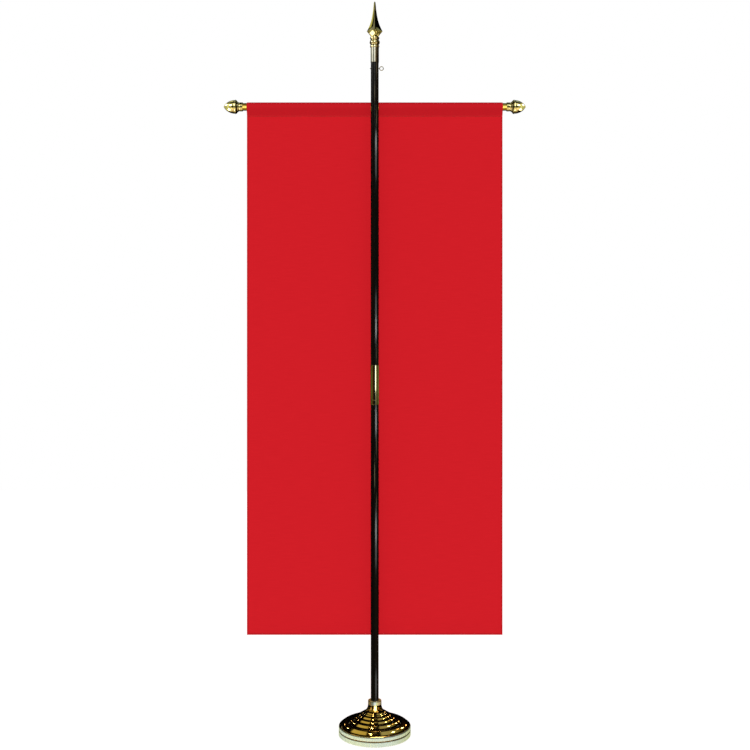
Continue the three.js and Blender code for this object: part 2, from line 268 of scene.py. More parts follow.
def lacquer():
    """Black lacquer on hardwood: a deep gloss coat, near black, with a breath of brown in long upright
    streaks that is a painted warm reflection. The same streaks give the coat a faint bump along the wood.
    """
    material, tree, shader = new_material("black_gloss_lacquer", IOR=1.5)
    grain_and_reflection = noise(tree, 60.0, 3.0, stretch=(1.0, 1.0, 0.02))
    # Painted reflection: the brown in the streaks stands for a warm reflection; the streaks' bump is the
    # wood's own
    colour = colour_between(tree, grain_and_reflection, "#0B0907", "#21160E", 0.45, 0.85)
    tree.links.new(colour, shader.inputs["Base Color"])
    tree.links.new(value_between(tree, noise(tree, 40.0, 3.0), 0.1, 0.2), shader.inputs["Roughness"])
    bump(tree, shader, grain_and_reflection, 0.00004, 0.3)
    return material


# The banner is a plain weave of matt red thread. The threads of such cloth are about 0.5 mm apart. They
# are drawn 1.2 mm apart, so that they show in a near view.
THREAD_PITCH = 1.2 * MM
# The soft edge of the painted shade on the doubled hems and sleeve
DOUBLED_CLOTH_SHADE_SOFT = 0.6 * MM


def woven_red_cloth():
    """Where the cloth lies double, at its hems and its sleeve, its colour is painted a shade darker:
    painted shade for the light that shines through a single layer and not through two.
    """
    material, tree, shader = new_material("woven_red_cloth", Roughness=0.9, IOR=1.4)
    shader.inputs["Specular IOR Level"].default_value = 0.1
    shader.inputs["Sheen Weight"].default_value = 0.02
    shader.inputs["Sheen Roughness"].default_value = 0.5
    flat = add_node(tree, "ShaderNodeUVMap", uv_map="cloth").outputs["UV"]
    pitches = (1 / THREAD_PITCH,) * 3
    threads = add_node(tree, "ShaderNodeMapping", {"Vector": flat, "Scale": pitches}).outputs[0]
    split = add_node(tree, "ShaderNodeSeparateXYZ", {"Vector": threads})
    places = [math_node(tree, "MULTIPLY", split.outputs[axis], math.pi) for axis in "XY"]
    warp, weft = [math_node(tree, "ABSOLUTE", math_node(tree, "SINE", place)) for place in places]
    over = add_node(tree, "ShaderNodeTexChecker", {"Vector": threads, "Scale": 1.0}).outputs["Fac"]
    weave = add_node(tree, "ShaderNodeMix", {"Factor": over, "A": warp, "B": weft}).outputs[0]
    slub = noise(tree, 1.0, 2.0, vector=threads, stretch=(0.02, 0.6, 1.0))
    height = math_node(tree, "ADD", weave, math_node(tree, "MULTIPLY", slub, 0.5))
    bump(tree, shader, height, 0.00012, 0.4)
    colour = colour_between(tree, slub, "#CF1C25", "#D41E27", 0.3, 0.7)
    place = add_node(tree, "ShaderNodeSeparateXYZ", {"Vector": flat})
    from_left, up = place.outputs["X"], place.outputs["Y"]
    width, hem, sleeve = CLOTH_WIDTH * MM, HEM_WIDTH * MM, (SEAM_Z - CLOTH_BOTTOM_Z) * MM
    # Painted shade: the hems and the sleeve, where the cloth lies double, get a darker red
    for value, low, high, tone in (
        (from_left, -hem, hem, "#C91A22"),
        (from_left, width - hem, width + hem, "#C91A22"),
        (up, -hem, hem, "#C91A22"),
        (up, sleeve, 10.0, "#C61B24"),
    ):
        colour = laid_over(tree, window(tree, value, low, high, DOUBLED_CLOTH_SHADE_SOFT), colour, linear(tone))
    tree.links.new(colour, shader.inputs["Base Color"])
    return material


def sewing_thread():
    """Polyester sewing thread, a shade darker and glossier than the cloth."""
    material, tree, shader = new_material("red_sewing_thread", Roughness=0.5)
    colour = colour_between(tree, noise(tree, 400.0), "#6A2A20", "#843026")
    tree.links.new(colour, shader.inputs["Base Color"])
    return material


MATERIALS = {
    # Spun brass, buffed and lacquered: mirror bright, with the faintest turning lines, and painted shade
    # along its grooves
    "spun_brass": brass("spun_polished_brass", "#D2A24A", "#E3B65E", 0.05, 0.11, spun_pitch=0.0006,
                        grooves=[radius * MM for radius, height in GROOVES[:-1]]),
    # Cast and turned brass with a pale plating: bright, a little softer than the spun dome
    "pale_brass": brass("pale_plated_brass", "#D3C38C", "#E2D5A2", 0.07, 0.13, spun_pitch=0.0008),
    # Turned brass with a silvery plating on the collar and the pole's top tube
    "silvery_brass": brass("silvery_plated_brass", "#D9D4BC", "#E4E0CB", 0.07, 0.12, spun_pitch=0.0008),
    # Rolled brass tube, yellow and bright
    "tube_brass": brass("drawn_yellow_brass", "#DDBB55", "#EBCB66", 0.14, 0.24),
    # Reeded strip in pale plating, a satin finish
    "reeded_brass": brass("reeded_pale_brass", "#DDDDD0", "#E8E8DC", 0.22, 0.34),
    "lacquer": lacquer(),
    "cloth": woven_red_cloth(),
    "thread": sewing_thread(),
}


# Mesh tools

def finished(name, mesh, material, slot, *replaced):
    """Puts a finished mesh into the scene as a piece that rides on the one body."""
    piece = bpy.data.objects.new(name, mesh)
    bpy.context.scene.collection.objects.link(piece)
    if material:
        mesh.materials.clear()
        mesh.materials.append(MATERIALS[material])
    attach(piece, "root")
    if replaced:
        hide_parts(*replaced)
    return piece


def mesh_of(name, points, faces, smooth=True):
    mesh = bpy.data.meshes.new(name)
    mesh.from_pydata([tuple(p) for p in points], [], faces)
    mesh.polygons.foreach_set("use_smooth", [smooth] * len(mesh.polygons))
    mesh.update()
    return mesh


def filleted(corners, steps=4):
    """An outline with its corners (across, up, fillet) rounded and a support point beyond each fillet."""
    outline = []
    last = len(corners) - 1
    for index, corner in enumerate(corners):
        here = Vector(corner[:2])
        fillet = corner[2] if len(corner) > 2 else 0
        if not fillet or index in (0, last):
            outline.append(here)
            continue
        before = Vector(corners[index - 1][:2]) - here
        after = Vector(corners[index + 1][:2]) - here
        start = here + before.normalized() * min(fillet, before.length * 0.45)
        end = here + after.normalized() * min(fillet, after.length * 0.45)
        outline.append(start + before.normalized() * min(fillet * 0.3, before.length * 0.04))
        for step in range(steps + 1):
            t = step / steps
            outline.append(start * (1 - t) ** 2 + here * 2 * t * (1 - t) + end * t ** 2)
        outline.append(end + after.normalized() * min(fillet * 0.3, after.length * 0.04))
    return outline


def turned(name, outline, steps=FINE_STEPS, closed=False, place=None):
    """An outline of (radius, height) in mm, from the bottom upwards, turned about Z into a closed mesh.
    A closed outline is a tube's, and its last point joins its first."""
    points, rings = [], []
    for radius, height in outline:
        if radius < ON_AXIS:
            rings.append([len(points)] * steps)
            points.append(Vector((0, 0, height)) * MM)
            continue
        rings.append(list(range(len(points), len(points) + steps)))
        for step in range(steps):
            angle = TURN * step / steps
            points.append(Vector((radius * math.cos(angle), radius * math.sin(angle), height)) * MM)
    pairs = list(zip(rings, rings[1:]))
    if closed:
        pairs.append((rings[-1], rings[0]))
    faces = []
    for low, high in pairs:
        for step in range(steps):
            after = (step + 1) % steps
            face = [low[step], low[after], high[after], high[step]]
            face = [v for k, v in enumerate(face) if v not in face[:k]]
            if len(face) > 2:
                faces.append(face)
    if place is not None:
        points = [place @ p for p in points]
    return mesh_of(name, points, faces)


def turned_piece(name, outline, material, slot, node, **turning):
    """A turned mesh, put into the scene in place of a node."""
    finished(name, turned(name, outline, **turning), material, slot, node)


def laid(spot, quarters, axis):
    """The place of a turned piece laid down: its foot's spot in mm and its quarter turns about an axis."""
    return Matrix.Translation(Vector(spot) * MM) @ Matrix.Rotation(quarters * math.pi / 2, 4, axis)


def crowned(start, end, crown, steps):
    """A shallow arc between two points, crowned to the right of its way by a share of its length."""
    start, end = Vector(start), Vector(end)
    along = end - start
    middle = (start + end) / 2 + Vector((along.y, -along.x)) * 2 * crown
    return bezier(start, middle, end, steps)


def bezier(start, middle, end, steps):
    start, middle, end = Vector(start), Vector(middle), Vector(end)
    shares = [step / steps for step in range(steps + 1)]
    return [start * (1 - t) ** 2 + middle * 2 * t * (1 - t) + end * t ** 2 for t in shares]


def arc(centre, radius, start, end, steps):
    """Points on an arc, its angles in degrees."""
    angles = [math.radians(start + (end - start) * step / steps) for step in range(steps + 1)]
    return [Vector(centre) + Vector((math.cos(a), math.sin(a))) * radius for a in angles]


def swept(name, path, radius, sides):
    """A round wire of a given radius along a path in the XZ plane, both in mm, with closed ends."""
    points, faces = [], []
    path = [Vector(p) for p in path]
    for index, here in enumerate(path):
        way = (path[min(index + 1, len(path) - 1)] - path[max(index - 1, 0)]).normalized()
        side = Vector((way.z, 0, -way.x))
        for turn in range(sides):
            angle = TURN * turn / sides
            out = side * radius * math.cos(angle) + Vector((0, radius, 0)) * math.sin(angle)
            points.append((here + out) * MM)
    for index in range(len(path) - 1):
        for turn in range(sides):
            a, b = index * sides + turn, index * sides + (turn + 1) % sides
            faces.append([a, b, b + sides, a + sides])
    faces.append(list(range(sides))[::-1])
    faces.append([(len(path) - 1) * sides + turn for turn in range(sides)])
    mesh = mesh_of(name, points, faces)
    outward(mesh)
    return mesh


def outward(mesh):
    work = bmesh.new()
    work.from_mesh(mesh)
    bmesh.ops.remove_doubles(work, verts=work.verts, dist=SAME_POINT)
    bmesh.ops.recalc_face_normals(work, faces=work.faces)
    work.to_mesh(mesh)
    work.free()


# Geometry Nodes that repeat a small piece

def node_tree(name, sockets):
    """A geometry tree with named inputs after its first, the geometry."""
    tree = bpy.data.node_groups.new(name, "GeometryNodeTree")
    tree.interface.new_socket("Geometry", in_out="OUTPUT", socket_type="NodeSocketGeometry")
    tree.interface.new_socket("Geometry", in_out="INPUT", socket_type="NodeSocketGeometry")
    for socket, kind in sockets.items():
        tree.interface.new_socket(socket, in_out="INPUT", socket_type=kind)
    return tree, tree.nodes.new("NodeGroupInput").outputs, tree.nodes.new("NodeGroupOutput").inputs


def with_copies(tree, given, result, line, rotation):
    """The tree, ending in real copies of the given geometry at a line's points, welded where asked."""
    copies = add_node(tree, "GeometryNodeInstanceOnPoints", {
        "Points": line.outputs["Mesh"],
        "Instance": given["Geometry"],
        "Rotation": rotation,
    })
    made = add_node(tree, "GeometryNodeRealizeInstances", {"Geometry": copies.outputs["Instances"]})
    if "Weld" in given:
        joined = {"Geometry": made.outputs["Geometry"], "Distance": given["Weld"]}
        made = add_node(tree, "GeometryNodeMergeByDistance", joined)
    dressed = {"Geometry": made.outputs["Geometry"], "Material": given["Material"]}
    painted = add_node(tree, "GeometryNodeSetMaterial", dressed)
    tree.links.new(painted.outputs["Geometry"], result["Geometry"])
    return tree


def repeated_about_axis():
    """The geometry, Count times about Z at even angles, welded where the copies meet."""
    tree, given, result = node_tree("repeated_about_axis", {
        "Count": "NodeSocketInt",
        "Weld": "NodeSocketFloat",
        "Material": "NodeSocketMaterial",
    })
    line = add_node(tree, "GeometryNodeMeshLine", {"Count": given["Count"], "Offset": (0, 0, 0)})
    index = add_node(tree, "GeometryNodeInputIndex").outputs[0]
    angle = math_node(tree, "DIVIDE", math_node(tree, "MULTIPLY", index, TURN), given["Count"])
    rotation = add_node(tree, "ShaderNodeCombineXYZ", {"Z": angle}).outputs[0]
    return with_copies(tree, given, result, line, rotation)


def repeated_along_line():
    """The geometry, Count times from Start by Step, each copy turned and moved a little by chance."""
    tree, given, result = node_tree("repeated_along_line", {
        "Count": "NodeSocketInt",
        "Start": "NodeSocketVector",
        "Step": "NodeSocketVector",
        "Rotation": "NodeSocketVector",
        "Sway": "NodeSocketFloat",
        "Seed": "NodeSocketInt",
        "Material": "NodeSocketMaterial",
    })
    places = {"Count": given["Count"], "Start Location": given["Start"], "Offset": given["Step"]}
    line = add_node(tree, "GeometryNodeMeshLine", places)
    chance = add_node(tree, "FunctionNodeRandomValue", {"Seed": given["Seed"]}, data_type="FLOAT_VECTOR")
    for index, corner in enumerate(((-1, -1, -1), (1, 1, 1))):
        limit = vector_math(tree, "SCALE", corner, scale=given["Sway"])
        tree.links.new(limit, chance.inputs[index])
    turn = vector_math(tree, "ADD", given["Rotation"], second=chance.outputs[0])
    return with_copies(tree, given, result, line, turn)


def grown(name, mesh, tree, **inputs):
    """The mesh that a tree makes of a small one, with the tree's inputs set by their names."""
    carrier = bpy.data.objects.new(name + "_seed", mesh)
    bpy.context.scene.collection.objects.link(carrier)
    modifier = carrier.modifiers.new("grow", "NODES")
    modifier.node_group = tree
    for item in tree.interface.items_tree:
        if item.in_out == "INPUT" and item.name in inputs:
            modifier[item.identifier] = inputs[item.name]
    bpy.context.view_layer.update()
    made = bpy.data.meshes.new_from_object(carrier.evaluated_get(bpy.context.evaluated_depsgraph_get()))
    made.name = name
    bpy.data.objects.remove(carrier)
    return made


# The base

def base_body():
    outline = filleted([(0, 0), (DRUM_RADIUS, 0, 0.6), (DRUM_RADIUS, UPPER_BAND_TOP + GAP),
                        (GROOVES[-1][0], UPPER_BAND_TOP + GAP)])
    for outer, inner in zip(GROOVES[::-1], GROOVES[-2::-1]):
        outline += crowned(outer, inner, RING_CROWN, 14)[:-1]
    outline += bezier(GROOVES[0], (NECK_RADIUS, NECK_CURVE_Z), (NECK_RADIUS, NECK_TOP_Z), 22)
    bore = POLE_RADIUS + GAP
    outline += [(bore, NECK_TOP_Z), (bore, POLE_FOOT_Z - GAP), (0, POLE_FOOT_Z - GAP)]
    turned_piece("base_dome", outline, "spun_brass", "polished_gold", "base_body", steps=BASE_STEPS)


def reed_sector(name, outline):
    """One reed's share of a band: a closed outline in mm, its outer points crowned across the reed."""
    samples = 7
    half = math.pi / REED_COUNT
    side = math.radians(REED_LEAN)
    points, faces = [], []
    for sample in range(samples):
        lean = side * (2 * sample / (samples - 1) - 1)
        angle = half * math.sin(lean) / math.sin(side)
        for radius, height in outline:
            reach = radius - REED_DEPTH * (1 - math.cos(lean)) if radius > DRUM_RADIUS + 2 else radius
            points.append(Vector((reach * math.cos(angle), reach * math.sin(angle), height)) * MM)
    count = len(outline)
    for sample in range(samples - 1):
        for index in range(count):
            a, b = sample * count + index, sample * count + (index + 1) % count
            faces.append([a, a + count, b + count, b])
    return mesh_of(name, points, faces)


def reeded_band(name, outline, node, tree):
    sector = reed_sector(name + "_sector", outline)
    mesh = grown(name, sector, tree, Count=REED_COUNT, Weld=RIM_WELD, Material=MATERIALS["reeded_brass"])
    outward(mesh)
    finished(name, mesh, None, "reeded_gold", node)


def base_bands():
    tree = repeated_about_axis()
    bore = DRUM_RADIUS + GAP
    lower = filleted([(bore, 0), (BASE_RADIUS, 0, 1.2), (BASE_RADIUS, LOWER_BAND_TOP, 3),
                      (bore, LOWER_BAND_TOP)])
    reeded_band("base_reeds_lower", lower, "base_lower_band", tree)
    low = GOLD_LINE_TOP + GAP
    upper = filleted([(bore, low), (BASE_RADIUS, low, 3), (BASE_RADIUS, UPPER_BAND_SHOULDER, 1.8),
                      (UPPER_BAND_TOP_RADIUS, UPPER_BAND_TOP), (bore, UPPER_BAND_TOP)])
    reeded_band("base_reeds_upper", upper, "base_upper_band", tree)


def base_gold_line():
    bore = DRUM_RADIUS + GAP
    low = LOWER_BAND_TOP + GAP
    middle = (low + GOLD_LINE_TOP) / 2
    reach = GOLD_LINE_RADIUS - 0.5
    outline = [(bore, low), (reach, low)]
    outline += arc((reach, middle), (GOLD_LINE_TOP - low) / 2, -80, 80, 6)
    outline += [(reach, GOLD_LINE_TOP), (bore, GOLD_LINE_TOP)]
    turned_piece("base_gold_bead", outline, "spun_brass", "polished_gold", "base_gold_line",
                 steps=BASE_STEPS, closed=True)


def base_collar():
    low = NECK_TOP_Z + GAP
    bore = POLE_RADIUS + GAP
    outline = filleted([(bore, low), (COLLAR_RADIUS, low, 0.5), (COLLAR_RADIUS, COLLAR_TOP_Z, 2.6),
                        (bore, COLLAR_TOP_Z, 1.2), (bore, low + 1), (bore, low)], 6)
    turned_piece("base_neck_collar", outline[:-1], "silvery_brass", "pale_gold", "base_collar", closed=True)


# The pole and its joints

def pole():
    top = JOINT_LOW_Z - GAP
    end = JOINT_MEETING_Z - GAP / 2
    lower = filleted([(0, POLE_FOOT_Z), (POLE_RADIUS, POLE_FOOT_Z, 0.5), (POLE_RADIUS, top, 0.4),
                      (SPIGOT_RADIUS, top), (SPIGOT_RADIUS, end), (0, end)])
    turned_piece("lower_pole", lower, "lacquer", "black_lacquer", "pole_lower")
    start = JOINT_MEETING_Z + GAP / 2
    low = JOINT_TOP_Z + GAP
    top = TOP_FERRULE_LOW_Z - GAP
    upper = filleted([(0, start), (SPIGOT_RADIUS, start), (SPIGOT_RADIUS, low), (POLE_RADIUS, low, 0.4),
                      (POLE_RADIUS, top, 0.4), (SPIGOT_RADIUS, top), (SPIGOT_RADIUS, POLE_TOP_Z),
                      (0, POLE_TOP_Z)])
    turned_piece("upper_pole", upper, "lacquer", "black_lacquer", "pole_upper")


def brass_tube(name, low, high, node, material="pale_brass"):
    outline = filleted([(FERRULE_BORE, low), (FERRULE_RADIUS, low, 0.5), (FERRULE_RADIUS, high, 0.5),
                        (FERRULE_BORE, high)])
    turned_piece(name, outline, material, "pale_gold", node, closed=True)


def pole_joints():
    brass_tube("joint_lower_ring", JOINT_LOW_Z, JOINT_SPLIT_Z, "joint_ring")
    brass_tube("joint_tube", JOINT_SPLIT_Z + GAP, JOINT_TOP_Z, "joint_ferrule")
    brass_tube("top_tube", TOP_FERRULE_LOW_Z, TOP_FERRULE_TOP_Z, "top_ferrule", "silvery_brass")


# The spear head

def spear_bead():
    seat = TOP_FERRULE_TOP_Z + GAP
    outline = filleted([(0, POLE_TOP_Z + GAP), (SPIGOT_RADIUS, POLE_TOP_Z + GAP), (SPIGOT_RADIUS, seat)])
    outline += filleted([(15.2, seat), (16.3, seat + 1.2, 1), (16.2, seat + 5.4, 1.6), (14.7, seat + 8.4)])
    for step in range(13):
        lean = math.radians(-62 + 124 * step / 12)
        reach = BEAD_RADIUS - BEAD_BULGE + BEAD_BULGE * math.cos(lean)
        outline.append(Vector((reach, BEAD_MIDDLE_Z + BEAD_HALF_HEIGHT * math.sin(lean))))
    outline += filleted([(14.4, BEAD_MIDDLE_Z + BEAD_HALF_HEIGHT + 1.6), (16.4, 2467, 1.4),
                         (16.4, 2471.8, 1.8), (12.6, 2474.2, 0.8), (0, 2474.2)])
    turned_piece("spear_bead_turning", outline, "pale_brass", "pale_gold", "spear_bead")


# The blade's height above the floor and its ridge's distance from the axis
BLADE = ((2474.5, 12.9), (SPEAR_SHOULDER_Z, 28), (2498, 25.4), (2506, 21.4), (2517.5, 16.5), (2531.7, 12),
         (2549.5, 8.3), (2567, 5.7), (2584.9, 4), (2595, 2.8), (2597.8, 2.1))
# The row of the shoulder, and how near the axis a flank's middle lies, as a share of its ridges' distance:
# flat up to the shoulder, and wholly hollow from HOLLOW_FROM_Z
SHOULDER_ROW = 4
FLAT_FLANK = math.sqrt(0.5)
HOLLOW_FLANK = 0.6
HOLLOW_FROM_Z = 2506


def blade_rows():
    """The blade's rows with three more between each two, on straight runs."""
    rows = [BLADE[0]]
    for (low, near), (high, far) in zip(BLADE, BLADE[1:]):
        rows += [(low + (high - low) * t, near + (far - near) * t) for t in (0.25, 0.5, 0.75, 1.0)]
    return rows


def spear_blade():
    """Four ridges with hollow flanks between them, on a short pyramid foot with flat sides."""
    across = 8
    points, faces, ridges = [], [], set()
    for height, ridge in blade_rows():
        hollow = min(1.0, max(0.0, (height - SPEAR_SHOULDER_Z) / (HOLLOW_FROM_Z - SPEAR_SHOULDER_Z)))
        flank = FLAT_FLANK + (HOLLOW_FLANK - FLAT_FLANK) * hollow
        for quarter in range(4):
            start = Vector((math.cos(quarter * TURN / 4), math.sin(quarter * TURN / 4)))
            end = Vector((math.cos((quarter + 1) * TURN / 4), math.sin((quarter + 1) * TURN / 4)))
            middle = (start + end).normalized() * (2 * flank - FLAT_FLANK)
            for point in bezier(start, middle, end, across)[:-1]:
                points.append(Vector((point.x * ridge, point.y * ridge, height)) * MM)
    ring = 4 * across
    rows = len(points) // ring
    for row in range(rows - 1):
        for k in range(ring):
            a, b = row * ring + k, row * ring + (k + 1) % ring
            faces.append([a, b, b + ring, a + ring])
            if k % across == 0:
                ridges.add((a, a + ring))
    points.append(Vector((0, 0, SPEAR_TIP_Z)) * MM)
    for k in range(ring):
        faces.append([(rows - 1) * ring + k, (rows - 1) * ring + (k + 1) % ring, len(points) - 1])
    faces.append(list(range(ring))[::-1])
    mesh = mesh_of("spear_blade_casting", points, faces)
    for edge in mesh.edges:
        pair = tuple(sorted(edge.vertices))
        on_shoulder = all(v // ring == SHOULDER_ROW for v in pair)
        if pair in ridges or on_shoulder or pair[1] < ring:
            edge.use_edge_sharp = True
    finished("spear_blade_casting", mesh, "pale_brass", "pale_gold", "spear_blade")


# The screw eye

def screw_eye():
    path = [(x, 0, EYE_Z) for x in (-POLE_RADIUS + GAP, 0, 13, 15.5)]
    path += [(16.6, 0, EYE_Z + 0.3), (17.4, 0, EYE_Z + 1.0)]
    for step in range(41):
        angle = math.radians(168 - 346 * step / 40)
        across, up = EYE_RING_RADIUS * math.cos(angle), EYE_RING_RADIUS * math.sin(angle)
        path.append((EYE_X + across, 0, EYE_Z + up))
    mesh = swept("brass_screw_eye", path, EYE_WIRE_RADIUS, 14)
    finished("brass_screw_eye", mesh, "pale_brass", "pale_gold", "screw_eye")
    nut = filleted([(0, 0), (2.7, 0), (2.7, 1.3, 0.4), (1.7, 2.2, 0.6), (0, 2.3)])
    place = laid((-POLE_RADIUS - GAP, 0, EYE_Z), -1, "Y")
    turned_piece("brass_eye_nut", nut, "pale_brass", "pale_gold", "eye_nut", steps=24, place=place)


# The crossbar

def crossbar():
    reach = BAR_HALF + BAR_SOCKET_DEPTH - GAP
    outline = filleted([(0, -reach), (BAR_RADIUS, -reach, 0.5), (BAR_RADIUS, reach, 0.5), (0, reach)])
    place = laid((0, BAR_Y, BAR_Z), 1, "Y")
    turned_piece("brass_crossbar", outline, "tube_brass", "polished_gold", "crossbar", place=place)


def acorn_outline():
    """From the tip: a pointed nut, a groove, the cup's rim bead, two steps and the collar."""
    ogive = (NUT_RADIUS ** 2 + NUT_LENGTH ** 2) / (2 * NUT_RADIUS)
    outline = [Vector((0, 0))]
    for step in range(1, 27):
        along = NUT_LENGTH * 0.96 * (step / 26) ** 1.3
        radius = math.sqrt(ogive ** 2 - (NUT_LENGTH - along) ** 2) - (ogive - NUT_RADIUS)
        outline.append(Vector((radius, along)))
    bore = BAR_RADIUS + GAP
    bottom = ACORN_LENGTH - BAR_SOCKET_DEPTH
    outline += filleted([(23.2, 39.2), (24.4, 40.6, 0.8), (25, 42.6, 1.4), (24.6, 45.4, 1.6),
                         (22.2, 47.2, 0.6), (21, 48.4, 0.6), (18.2, 50.2, 0.8), (17.9, 52.6, 0.8),
                         (16.2, 54, 0.8), (15.2, 56.4, 1), (15.9, 57.8, 0.6), (15.9, ACORN_LENGTH, 1.2),
                         (bore, ACORN_LENGTH, 0.4), (bore, bottom), (0, bottom)])
    return outline


def acorns():
    for side, name in ((-1, "acorn_left"), (1, "acorn_right")):
        place = laid((side * (BAR_HALF + ACORN_LENGTH), BAR_Y, BAR_Z), -side, "Y")
        turned_piece(name + "_turning", acorn_outline(), "pale_brass", "pale_gold", name, place=place)


def crossbar_screw():
    head = BAR_Y + BAR_RADIUS + SLEEVE_SLACK + SHEET + GAP - SCREW_TIP_Y
    outline = filleted([(0, 0), (SCREW_RADIUS, 0.8, 0.4), (SCREW_RADIUS, head),
                        (SCREW_HEAD_RADIUS, head, 0.3), (SCREW_HEAD_RADIUS, head + 0.9, 0.5),
                        (3.4, head + 2.1, 0.8), (0, head + SCREW_HEAD_HEIGHT)])
    place = laid((0, SCREW_TIP_Y, BAR_Z), -1, "X")
    turned_piece("domed_screw", outline, "spun_brass", "polished_gold", "crossbar_screw",
                 steps=48, place=place)


# The banner cloth

SLEEVE_MIDDLE = BAR_RADIUS + SLEEVE_SLACK + SHEET / 2
LAYER_GAP = 0.15
# The rows and columns of the cloth's mesh, close together near its edges, in mm
NEAR_EDGE = (0, 0.25, 0.7, 1.4, 2.6, 4, 5.2, 5.9, 6.6, 8, 12)
BELOW_SEAM = 6
CLOTH_ROWS = 150
CLOTH_COLUMNS = 76
# The soft inner step of a hem, and the height and length of the cloth's two waves, in mm
HEM_STEP = 1.2
BROAD_WAVE = (0.9, 97)
NARROW_WAVE = (0.6, 41)


def touch_angle(foot, radius, side):
    """The angle on a circle about the bar, in degrees, where a line from a lower point touches it."""
    reach = Vector((BAR_Y, BAR_Z)) - Vector(foot)
    bearing = math.atan2(-reach.y, -reach.x)
    return math.degrees(bearing + side * math.acos(radius / reach.length))


def cloth_path():
    """The cloth's middle line in (y, z), from the hem up, over the bar and down to its turned edge."""
    first = CLOTH_BOTTOM_Z + NEAR_EDGE[-1]
    rise = SEAM_Z - BELOW_SEAM - first
    path = [Vector((BAR_Y, CLOTH_BOTTOM_Z + step)) for step in NEAR_EDGE]
    for row in range(1, CLOTH_ROWS + 1):
        path.append(Vector((BAR_Y, first + rise * row / CLOTH_ROWS)))
    foot = Vector((BAR_Y, SEAM_Z))
    far_foot = Vector((BAR_Y + SHEET + LAYER_GAP, SEAM_Z))
    front = touch_angle(foot, SLEEVE_MIDDLE, -1) + 360
    back = touch_angle(far_foot, SLEEVE_MIDDLE, 1)
    loop = arc((BAR_Y, BAR_Z), SLEEVE_MIDDLE, front, back, 32)
    path += bezier((BAR_Y, SEAM_Z - 4), (BAR_Y, SEAM_Z), foot + (loop[0] - foot) * 0.15, 5)
    path += [foot + (loop[0] - foot) * share for share in (0.4, 0.7)]
    path += loop
    path += [loop[-1] + (far_foot - loop[-1]) * share for share in (0.35, 0.7)]
    path += bezier(far_foot + (loop[-1] - far_foot) * 0.15, far_foot, far_foot - Vector((0, 2)), 4)
    path += [far_foot - Vector((0, step)) for step in (3.4, 4.3, 4.8, TURNED_EDGE)]
    return path


def cloth_columns():
    """The columns' places across the cloth, close together near its two edges."""
    half = CLOTH_WIDTH / 2
    first = NEAR_EDGE[-1] - half
    columns = [-half + step for step in NEAR_EDGE]
    for column in range(1, CLOTH_COLUMNS):
        columns.append(first - 2 * first * column / CLOTH_COLUMNS)
    return columns + [half - step for step in NEAR_EDGE[::-1]]


def rounded_edge(distance):
    """The share of the sheet's thickness at a distance from its edge."""
    return math.sqrt(max(0.0, 1 - max(0.0, 1 - distance / SHEET) ** 2))


def hem_step(distance):
    """The hem's added thickness at a distance from the cloth's edge, with its soft inner step."""
    share = min(1.0, max(0.0, (HEM_WIDTH + HEM_STEP / 2 - distance) / HEM_STEP))
    return HEM_EXTRA * share * share * (3 - 2 * share)


def sway(x, length):
    """How far the hanging cloth stands from its plane, in mm: soft waves, widest at the bottom hem."""
    hang = max(0.0, 1 - length / (SEAM_Z - CLOTH_BOTTOM_Z))
    broad = BROAD_WAVE[0] * math.sin(x / BROAD_WAVE[1] + 0.6)
    narrow = NARROW_WAVE[0] * math.sin(x / NARROW_WAVE[1] + 2.1 + length / 900)
    return hang * (broad + narrow)


def banner_cloth():
    """The cloth, with the length of its cut sheet in mm."""
    path = cloth_path()
    lengths = [0.0]
    for before, here in zip(path, path[1:]):
        lengths.append(lengths[-1] + (here - before).length)
    total = lengths[-1]
    columns = cloth_columns()
    points, flat = [], []
    for face in (1, -1):
        for index, (middle, length) in enumerate(zip(path, lengths)):
            way = (path[min(index + 1, len(path) - 1)] - path[max(index - 1, 0)]).normalized()
            normal = Vector((-way.y, way.x))
            from_ends = min(length, total - length)
            for x in columns:
                from_sides = CLOTH_WIDTH / 2 - abs(x)
                share = min(rounded_edge(from_ends), rounded_edge(from_sides))
                thick = SHEET / 2 * share
                if face < 0:
                    thick += hem_step(min(length, from_sides)) * share
                spot = middle + normal * face * thick
                lean = sway(x, length) if middle.y == BAR_Y else 0
                points.append(Vector((x, spot.x + lean, spot.y)) * MM)
                flat.append(((x + CLOTH_WIDTH / 2) * MM, length * MM))
    wide, tall = len(columns), len(path)
    faces = []
    for face in (0, 1):
        base = face * wide * tall
        for row in range(tall - 1):
            for column in range(wide - 1):
                a = base + row * wide + column
                quad = [a, a + 1, a + 1 + wide, a + wide]
                faces.append(quad if face == 0 else quad[::-1])
    mesh = mesh_of("banner", points, faces)
    layer = mesh.uv_layers.new(name="cloth")
    for loop in mesh.loops:
        layer.data[loop.index].uv = flat[loop.vertex_index]
    work = bmesh.new()
    work.from_mesh(mesh)
    rim = [v for v in work.verts if v.is_boundary]
    bmesh.ops.remove_doubles(work, verts=rim, dist=RIM_WELD)
    work.to_mesh(mesh)
    work.free()
    cloth = finished("banner", mesh, "cloth", "red_cloth", "banner_cloth")
    cloth.visible_glossy = False
    return cloth, total


# How high a stitch stands and how far it leans by chance, in mm and radians
STITCH_LIFT = 0.34
STITCH_SWAY = 0.06
# The rows' distances from the cloth's edge and from the seam's line, and where they end, in mm
STITCH_INSET = 4.6
SEAM_DROPS = (1.2, 3.6)
STITCH_END = 8
SEAM_END = 3


def stitch_mesh():
    """One stitch of lockstitch along X: a short thread that dips into the cloth at both ends."""
    path = []
    for step in range(7):
        share = step / 6
        lift = math.sin(math.pi * share) * STITCH_LIFT
        path.append(((share - 0.5) * STITCH_LENGTH, 0, lift))
    return swept("stitch", path, STITCH_RADIUS, 5)


